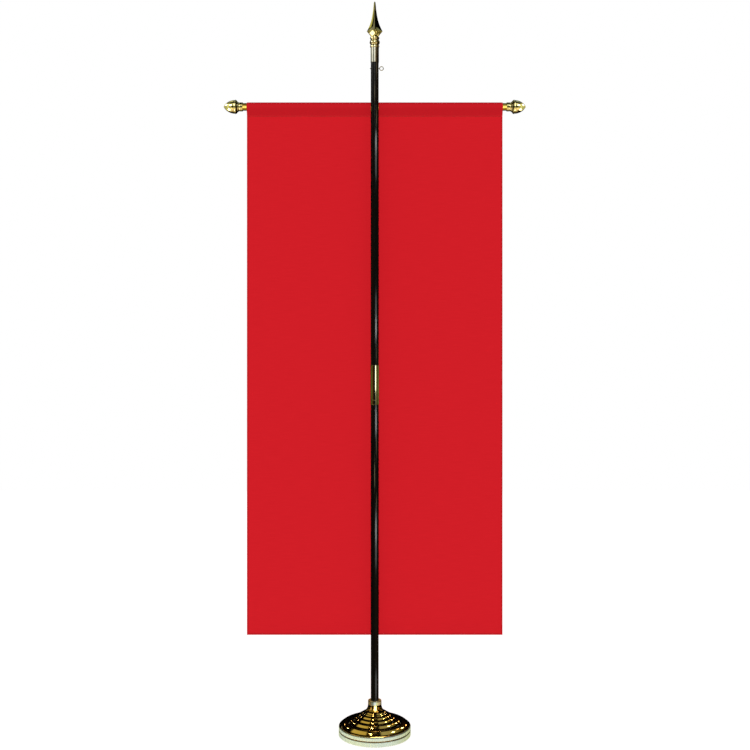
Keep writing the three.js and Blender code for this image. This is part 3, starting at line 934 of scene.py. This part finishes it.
def seam_lines():
    """Each row of stitches as (start, step, count, rotation), in mm, on the cloth's two faces."""
    half = CLOTH_WIDTH / 2
    across = (STITCH_PITCH, 0, 0)
    lines = []
    for out, hem, flap in ((-1, 0.0, 0.0), (1, HEM_EXTRA, SHEET + LAYER_GAP)):
        face_y = BAR_Y + out * SHEET / 2
        lay = -out * math.pi / 2
        for side in (-1, 1):
            start = (side * (half - STITCH_INSET), face_y + out * hem, CLOTH_BOTTOM_Z + STITCH_END)
            count = int((SEAM_Z - CLOTH_BOTTOM_Z - 2 * STITCH_END) / STITCH_PITCH)
            lines.append((start, (0, 0, STITCH_PITCH), count, (lay, math.pi / 2, 0)))
        start = (-half + STITCH_END, face_y + out * hem, CLOTH_BOTTOM_Z + STITCH_INSET)
        lines.append((start, across, int((CLOTH_WIDTH - 2 * STITCH_END) / STITCH_PITCH), (lay, 0, 0)))
        for drop in SEAM_DROPS:
            start = (-half + SEAM_END, face_y + flap, SEAM_Z - drop)
            lines.append((start, across, int((CLOTH_WIDTH - 2 * SEAM_END) / STITCH_PITCH), (lay, 0, 0)))
    return lines


def stitches():
    tree = repeated_along_line()
    work = bmesh.new()
    for seed, (start, step, count, rotation) in enumerate(seam_lines()):
        row = grown("stitch_row", stitch_mesh(), tree, Count=count, Start=[v * MM for v in start],
                    Step=[v * MM for v in step], Rotation=rotation, Sway=STITCH_SWAY, Seed=seed,
                    Material=MATERIALS["thread"])
        work.from_mesh(row)
        bpy.data.meshes.remove(row)
    mesh = bpy.data.meshes.new("hem_stitches")
    work.to_mesh(mesh)
    work.free()
    mesh.polygons.foreach_set("use_smooth", [True] * len(mesh.polygons))
    threads = finished("hem_stitches", mesh, "thread", "red_cloth")
    threads.visible_glossy = False
    return threads


# The stage, the light and the camera

FLOOR_HALF = 6.0
FLOOR_GLOW = 0.8


def stage_floor():
    ways = ((-1, -1), (1, -1), (1, 1), (-1, 1))
    corners = [(x * FLOOR_HALF, y * FLOOR_HALF, 0) for x, y in ways]
    mesh = mesh_of("stage_floor", corners, [[0, 1, 2, 3]], smooth=False)
    floor = bpy.data.objects.new("stage_floor", mesh)
    bpy.context.scene.collection.objects.link(floor)
    material, tree, shader = new_material("pale_floor_paint", Roughness=0.6)
    shader.inputs["Base Color"].default_value = (0.92, 0.92, 0.92, 1)
    shader.inputs["Specular IOR Level"].default_value = 0.0
    shader.inputs["Emission Color"].default_value = (1, 1, 1, 1)
    shader.inputs["Emission Strength"].default_value = FLOOR_GLOW
    mesh.materials.append(material)
    floor.visible_glossy = False
    floor.visible_diffuse = False


# Even light from all round gives this share of the cloth's brightness, and two broad lamps level with it,
# before and behind, the rest
SKY_SHARE = 0.3
LAMP_SPREAD = 8
LAMP_TURN = 1.0


def level_lamps():
    """Two broad lamps far off, before and behind the cloth, so that both its faces are lit evenly."""
    for name, turn in (("lamp_before", -LAMP_TURN), ("lamp_behind", 180)):
        data = bpy.data.lights.new(name, "SUN")
        data.energy = math.pi * (1 - SKY_SHARE)
        data.angle = math.radians(LAMP_SPREAD)
        lamp = bpy.data.objects.new(name, data)
        lamp.rotation_euler = (math.pi / 2, 0, math.radians(turn))
        lamp.visible_glossy = False
        bpy.context.scene.collection.objects.link(lamp)


# The tones of the studio that polished metal mirrors, from light to dark
WHITE = "#FFFFFF"
ICE = "#DCE9F8"
STRAW = "#D2D8AA"
COOL = "#C6D2D8"
SAND = "#C8B490"
SILVER = "#A9BCC0"
LEAF = "#A8B462"
TAN = "#94886A"
GREY = "#80847C"
OLIVE = "#646A3C"
BRONZE = "#7A6033"
BROWN = "#685030"
MOSS = "#2C3A1E"
UMBER = "#2A1A0A"
SOOT = "#120C06"
BLACK = "#030303"

# The room is dark, with a few strips round its walls. Each is a range of heights in degrees, with its tones
# by their turn from the front, to the right positive: low, high, softness, strength, tones
WALL_STRIPS = (
    (-92, -58, 4, 1.0, ((-180, TAN), (180, TAN))),
    (-62, -24, 4, 1.8, (
        (-140, BLACK), (-110, SAND), (-88, WHITE), (-60, SAND), (0, TAN), (60, SAND), (75, UMBER),
        (140, BLACK))),
    (-22.6, 14.3, 0.3, 1.0, ((-180, BLACK), (180, BLACK))),
    (-3.75, -1.1, 0.15, 1.0, (
        (-150, BLACK), (-115, OLIVE), (-80, OLIVE), (-60, BROWN), (-30, UMBER), (-16, BLACK), (10, BLACK),
        (14, GREY), (50, GREY), (66, OLIVE), (110, OLIVE), (130, TAN), (148, TAN), (155, BLACK))),
    (14.1, 16.2, 0.3, 1.5, (
        (-150, BLACK), (-138, COOL), (-120, GREY), (-90, GREY), (-72, WHITE), (-52, WHITE), (-38, MOSS),
        (-24, MOSS), (-14, WHITE), (12, WHITE), (16, BRONZE), (36, BRONZE), (44, UMBER), (60, BLACK))),
)
# The part of the room above the strips: low, high, softness
OVERHEAD = (16.2, 200, 0.4)

# Dark flags on the walls: turn from, to, low, high, softness, tone, strength
FLAG_SOFTNESS = 3
FLAGS = (
    (-140, -86, 19, 42, 3, SOOT, 1.0),
    (46, 140, 19, 52, 3, BLACK, 1.0),
    (-112, -78, -38, -18, 2, OLIVE, 0.6),
)

# What the faces of the spun base mirror overhead: each strip is a range of the faces' own tilt above level,
# with its tones by the way the faces are turned. The camera is seen from the base at the tilt BASE_TILT
BASE_TILT = 18.7
NECK_STRIPS = (
    (12, 24, 1.5, 1.2, (
        (-60, BLACK), (-50, BROWN), (-36, TAN), (-25, GREY), (-17, SOOT), (-8, SILVER), (16, SILVER),
        (26, TAN), (38, BROWN), (60, SOOT), (90, BLACK))),
    (24, 37, 1.5, 1.4, (
        (-120, SOOT), (-80, BROWN), (-45, TAN), (-18, OLIVE), (-8, TAN), (-2, SAND), (6, COOL), (20, SAND),
        (60, SAND), (85, BROWN), (120, BLACK))),
)
RING_STRIP = (50, 74, 1.2, 1.0, (
    (-46, BLACK), (-43, STRAW), (-16, STRAW), (-14, BLACK), (10, BLACK), (12, SILVER), (32, SILVER),
    (50, OLIVE), (66, UMBER), (95, BLACK)))

# Small lamps over the base, by the turn and tilt of the faces that show them: turn, tilt, width in metres,
# tone, strength. They stand round a spot at this height in mm
LAMP_CENTRE_Z = 2 * UPPER_BAND_TOP
BASE_LAMPS = (
    (35, 58, 0.21, WHITE, 44),
    (60, 60, 0.2, WHITE, 24),
    (75, 56, 0.18, SAND, 14),
    (50, 67, 0.18, SAND, 8),
    (-8, 62, 0.14, WHITE, 36),
    (-6, 53, 0.14, WHITE, 40),
    (-58, 60, 0.16, WHITE, 14),
    (-75, 64, 0.16, SAND, 5),
)


def bearings(tree, direction):
    """A direction's turn from the front to the right, and its height above level, in degrees."""
    split = add_node(tree, "ShaderNodeSeparateXYZ", {"Vector": direction})
    back = math_node(tree, "MULTIPLY", split.outputs["Y"], -1.0)
    turn = math_node(tree, "ARCTAN2", split.outputs["X"], back)
    rise = math_node(tree, "ARCSINE", split.outputs["Z"])
    return (math_node(tree, "DEGREES", turn), math_node(tree, "DEGREES", rise))


def tones_round(tree, turn, stops, strength):
    """The tones of a strip, by its stops round the compass."""
    place = math_node(tree, "DIVIDE", math_node(tree, "ADD", turn, 180.0), 360.0)
    ramp = add_node(tree, "ShaderNodeValToRGB", {"Fac": place})
    band = ramp.color_ramp
    for index, (angle, tone) in enumerate(stops):
        spot = (angle + 180) / 360
        element = band.elements[index] if index < 2 else band.elements.new(spot)
        element.position = spot
        element.color = linear(tone)
    return vector_math(tree, "SCALE", ramp.outputs["Color"], scale=strength)


def facing(turn, tilt):
    """The direction of a face by its turn and tilt in degrees."""
    turn, tilt = math.radians(turn), math.radians(tilt)
    return Vector((math.cos(tilt) * math.sin(turn), -math.cos(tilt) * math.cos(turn), math.sin(tilt)))


def strip_laid(tree, tone, strip, turn, rise, within=None):
    """A strip of tones over what is there so far, by two angles, only within a share if one is given."""
    low, high, soft, strength, stops = strip
    share = window(tree, rise, low, high, soft)
    if within is not None:
        share = math_node(tree, "MULTIPLY", within, share)
    return laid_over(tree, share, tone, tones_round(tree, turn, stops, strength))


def mirrored_studio(tree):
    """The colour that polished metal mirrors from each direction."""
    direction = add_node(tree, "ShaderNodeTexCoord").outputs["Generated"]
    turn, rise = bearings(tree, direction)
    tone = add_node(tree, "ShaderNodeRGB").outputs[0]
    tone.default_value = linear(SOOT)
    for strip in WALL_STRIPS:
        tone = strip_laid(tree, tone, strip, turn, rise)
    halfway = vector_math(tree, "ADD", direction, second=facing(0, BASE_TILT))
    face_turn, face_tilt = bearings(tree, vector_math(tree, "NORMALIZE", halfway))
    overhead = window(tree, rise, *OVERHEAD)
    for strip in NECK_STRIPS:
        tone = strip_laid(tree, tone, strip, face_turn, face_tilt, overhead)
    for start, end, low, high, soft, colour, strength in FLAGS:
        across = window(tree, turn, start, end, FLAG_SOFTNESS)
        share = math_node(tree, "MULTIPLY", across, window(tree, rise, low, high, soft))
        tone = laid_over(tree, share, tone, brightened(colour, strength))
    return strip_laid(tree, tone, RING_STRIP, face_turn, face_tilt, overhead)


def brightened(colour, strength):
    return tuple(part * strength for part in linear(colour)[:3]) + (1.0,)


# Cards close to the brass pieces, each seen only in the polish of its own piece: turn and rise from the
# piece (from the left one of a pair), distance, width and height in metres, tone, brightness
ACORN_CARDS = (
    (-95, 0, 0.6, 0.95, 1.2, STRAW, 0.75),
    (-52, 0, 0.6, 0.5, 1.2, STRAW, 0.5),
    (-12, 28, 0.7, 0.55, 0.6, STRAW, 0.4),
    (-14, -46, 0.7, 0.6, 0.55, SAND, 0.7),
    (30, -8, 0.9, 0.4, 0.8, STRAW, 0.5),
    (0, -78, 0.6, 0.5, 0.4, SAND, 0.7),
    (-40, 18, 0.45, 0.17, 0.12, WHITE, 7.0),
    (-94, 28, 0.45, 0.15, 0.12, WHITE, 7.0),
    (-81, -41, 0.45, 0.18, 0.15, WHITE, 7.0),
)
BAR_CARDS = (
    (8, -14, 0.6, 0.4, 0.42, WHITE, 1.9),
)
# The middle of the left facet on the blade's foot, in mm
FOOT_FACET = (-8, -12, 2484.5)
BLADE_CARDS = (
    (-70, 30, 0.6, 0.32, 0.5, LEAF, 0.7),
    (-127, 30, 0.6, 0.3, 0.5, GREY, 0.9),
)
FOOT_CARDS = (
    (-94.4, -26.3, 0.06, 0.015, 0.014, WHITE, 2.0),
)
DOME_CARDS = (
    (8, 15, 1.0, 0.7, 0.6, ICE, 8.0),
    (10, -6, 0.3, 0.2, 0.07, ICE, 8.0),
    (6, 42, 1.0, 0.1, 0.3, WHITE, 6.0),
    (38, 46, 1.0, 0.06, 0.3, SAND, 5.0),
    (54, 44, 1.0, 0.05, 0.3, SAND, 4.0),
    (-58, 4, 0.5, 0.22, 0.16, TAN, 2.0),
    (62, 4, 0.5, 0.2, 0.16, BROWN, 2.5),
)
COLLAR_CARDS = (
    (-125, -18, 0.5, 0.3, 0.14, TAN, 0.9),
    (-85, -18, 0.5, 0.4, 0.14, BROWN, 1.2),
    (-46, -18, 0.5, 0.3, 0.14, GREY, 0.9),
    (-18, -18, 0.5, 0.16, 0.14, SILVER, 0.95),
    (7, -18, 0.5, 0.26, 0.14, ICE, 1.15),
    (36, -18, 0.5, 0.22, 0.14, STRAW, 1.15),
    (62, -18, 0.5, 0.22, 0.14, SAND, 1.1),
    (90, -18, 0.5, 0.26, 0.14, SAND, 0.8),
    (122, -18, 0.5, 0.26, 0.14, TAN, 0.9),
    (-150, 25, 0.4, 0.4, 0.5, BROWN, 1.6),
    (150, 25, 0.4, 0.4, 0.5, BROWN, 1.6),
    (12, 60, 0.5, 0.5, 0.6, SILVER, 1.1),
)
BAND_CARDS = (
    (-130, -20, 0.7, 0.6, 0.5, STRAW, 0.75),
    (-85, -20, 0.7, 0.55, 0.5, SILVER, 1.15),
    (-45, -20, 0.7, 0.5, 0.5, STRAW, 1.05),
    (0, -20, 0.7, 0.6, 0.5, SILVER, 1.3),
    (45, -20, 0.7, 0.5, 0.5, SILVER, 1.2),
    (85, -20, 0.7, 0.5, 0.5, STRAW, 0.9),
    (130, -20, 0.7, 0.6, 0.5, STRAW, 0.7),
)
BEAD_CARDS = (
    (-74, 15, 0.5, 0.2, 0.2, WHITE, 5.0),
    (-4, 15, 0.5, 0.16, 0.2, WHITE, 5.0),
    (-36, 15, 0.5, 0.14, 0.5, OLIVE, 1.0),
    (34, 15, 0.5, 0.2, 0.9, TAN, 0.6),
)

# Cards beside the pole by the heights that show them, in mm: low, high, turn, width in metres, tone,
# brightness
POLE_CARDS = (
    (2336, 2382, 54, 0.2, SAND, 2.4),
    (2252, 2292, -2, 0.18, SAND, 4.0),
    (2162, 2208, 54, 0.2, SAND, 2.4),
    (2070, 2130, 38, 0.45, WHITE, 4.2),
    (1976, 2070, 38, 0.45, WHITE, 1.2),
    (1398, 1560, 38, 0.45, WHITE, 1.1),
    (1412, 1472, 38, 0.45, WHITE, 3.6),
    (1334, 1362, 54, 0.2, SAND, 2.4),
    (1056, 1164, 38, 0.45, WHITE, 1.1),
    (1078, 1150, 38, 0.45, WHITE, 3.0),
    (1000, 1048, 54, 0.2, SAND, 2.4),
    (887, 958, -2, 0.18, SAND, 4.2),
    (802, 844, 54, 0.2, SAND, 2.4),
    (600, 788, 38, 0.45, WHITE, 1.2),
    (685, 763, 38, 0.45, WHITE, 2.6),
    (132, 220, 38, 0.45, WHITE, 1.2),
)
JOINT_CARDS = (
    (1222, 1316, 25, 0.2, ICE, 3.0),
)
# Watts for each square metre of a card that looks as bright as white
CARD_POWER = 4
# In metres from the pole
CARD_DISTANCE = 0.5
LAMP_DISTANCE = 3.0
CAMERA_DISTANCE = 3.8
CAMERA_HEIGHT = 1.407


def collection_of(pieces):
    """The collection of the pieces that show a card. The renderer keeps only 64 of them apart, so all the
    cards of the same pieces share one."""
    title = pieces[0] + "_card_pieces"
    made = bpy.data.collections.get(title)
    if made is None:
        made = bpy.data.collections.new(title)
        for name in pieces:
            made.objects.link(bpy.data.objects[name])
    return made


def near_card(pieces, place, way, width, height, tone, strength):
    """A card at a place, its face against a way, that only the polish of some pieces shows."""
    seen_in = collection_of(pieces)
    title = pieces[0] + "_card"
    data = bpy.data.lights.new(title, "AREA")
    data.shape = "RECTANGLE"
    data.size = width
    data.size_y = height
    data.color = linear(tone)[:3]
    data.energy = CARD_POWER * width * height * strength
    card = bpy.data.objects.new(title, data)
    card.location = place
    card.rotation_euler = way.to_track_quat("Z", "Y").to_euler()
    card.visible_camera = False
    card.visible_diffuse = False
    card.light_linking.receiver_collection = seen_in
    card.light_linking.blocker_collection = seen_in
    bpy.context.scene.collection.objects.link(card)


def cards_about(pieces, place, cards, mirrored=False):
    """Cards round a place in mm, left and right changed over where they are mirrored."""
    for turn, rise, distance, width, height, tone, strength in cards:
        way = facing(-turn if mirrored else turn, rise)
        near_card(pieces, Vector(place) * MM + way * distance, way, width, height, tone, strength)


def cards_beside(pieces, cards):
    """Cards beside the pole, each as high as the stretch of pole that mirrors it to the camera."""
    spread = 1 + CARD_DISTANCE / CAMERA_DISTANCE
    for low, high, turn, width, tone, strength in cards:
        middle = CAMERA_HEIGHT + ((low + high) / 2 * MM - CAMERA_HEIGHT) * spread
        way = facing(turn, 0)
        place = way * CARD_DISTANCE + Vector((0, 0, middle))
        near_card(pieces, place, way, width, (high - low) * MM * spread, tone, strength)


def base_lamps():
    to_camera = facing(0, BASE_TILT)
    middle = Vector((0, 0, LAMP_CENTRE_Z)) * MM
    for turn, tilt, width, tone, strength in BASE_LAMPS:
        face = facing(turn, tilt)
        way = face * 2 * face.dot(to_camera) - to_camera
        near_card(["base_dome"], middle + way * LAMP_DISTANCE, way, width, width, tone, strength)


def near_cards():
    for side, name in ((-1, "acorn_left_turning"), (1, "acorn_right_turning")):
        cards_about([name], (side * (BAR_HALF + ACORN_LENGTH / 2), BAR_Y, BAR_Z), ACORN_CARDS, side > 0)
        cards_about(["brass_crossbar"], (side * BAR_HALF, BAR_Y, BAR_Z), BAR_CARDS, side > 0)
    cards_about(["base_dome"], (0, 0, NECK_TOP_Z), DOME_CARDS)
    cards_about(["base_neck_collar"], (0, 0, NECK_TOP_Z), COLLAR_CARDS)
    cards_about(["base_reeds_lower", "base_reeds_upper"], (0, 0, LOWER_BAND_TOP), BAND_CARDS)
    cards_about(["spear_blade_casting"], (0, 0, SPEAR_SHOULDER_Z), BLADE_CARDS)
    cards_about(["spear_blade_casting"], FOOT_FACET, FOOT_CARDS)
    cards_about(["spear_bead_turning"], (0, 0, BEAD_MIDDLE_Z), BEAD_CARDS)
    cards_beside(["lower_pole", "upper_pole"], POLE_CARDS)
    cards_beside(["joint_tube", "joint_lower_ring"], JOINT_CARDS)
    base_lamps()


def surroundings():
    """White to the eye, even light on matt things, and the studio in the gloss of metal and lacquer."""
    world = bpy.data.worlds.new("studio")
    bpy.context.scene.world = world
    world.use_nodes = True
    tree = world.node_tree
    tree.nodes.clear()
    world.cycles.sampling_method = "NONE"
    path = add_node(tree, "ShaderNodeLightPath")
    mirrored = add_node(tree, "ShaderNodeBackground", {"Color": mirrored_studio(tree), "Strength": 1.0})
    brightness = {"Value": path.outputs["Is Camera Ray"], "To Min": SKY_SHARE}
    direct = add_node(tree, "ShaderNodeMapRange", brightness).outputs[0]
    white = add_node(tree, "ShaderNodeBackground", {"Color": (1, 1, 1, 1), "Strength": direct})
    seen = add_node(tree, "ShaderNodeMixShader")
    tree.links.new(path.outputs["Is Glossy Ray"], seen.inputs[0])
    tree.links.new(white.outputs[0], seen.inputs[1])
    tree.links.new(mirrored.outputs[0], seen.inputs[2])
    output = add_node(tree, "ShaderNodeOutputWorld")
    tree.links.new(seen.outputs[0], output.inputs["Surface"])


# The camera stands level at 1.407 m, 3.8 m before the pole, and its lens is moved down a little
CAMERA_PLACE = (0.001, -CAMERA_DISTANCE, CAMERA_HEIGHT)
CAMERA_SENSOR = 36
CAMERA_LENS = 51.4
CAMERA_SHIFT_Y = -0.05


def camera():
    data = bpy.data.cameras.new("camera")
    data.sensor_width = CAMERA_SENSOR
    data.lens = CAMERA_LENS
    data.shift_y = CAMERA_SHIFT_Y
    eye = bpy.data.objects.new("camera", data)
    eye.location = CAMERA_PLACE
    eye.rotation_euler = (math.pi / 2, 0, 0)
    bpy.context.scene.collection.objects.link(eye)
    bpy.context.scene.camera = eye


camera()
base_body()
base_bands()
base_gold_line()
base_collar()
pole()
pole_joints()
spear_bead()
spear_blade()
screw_eye()
crossbar()
acorns()
crossbar_screw()
cloth, cut_length = banner_cloth()
threads = stitches()
stage_floor()
level_lamps()
near_cards()
surroundings()
bpy.context.scene.view_settings.view_transform = "Standard"
bpy.context.view_layer.update()
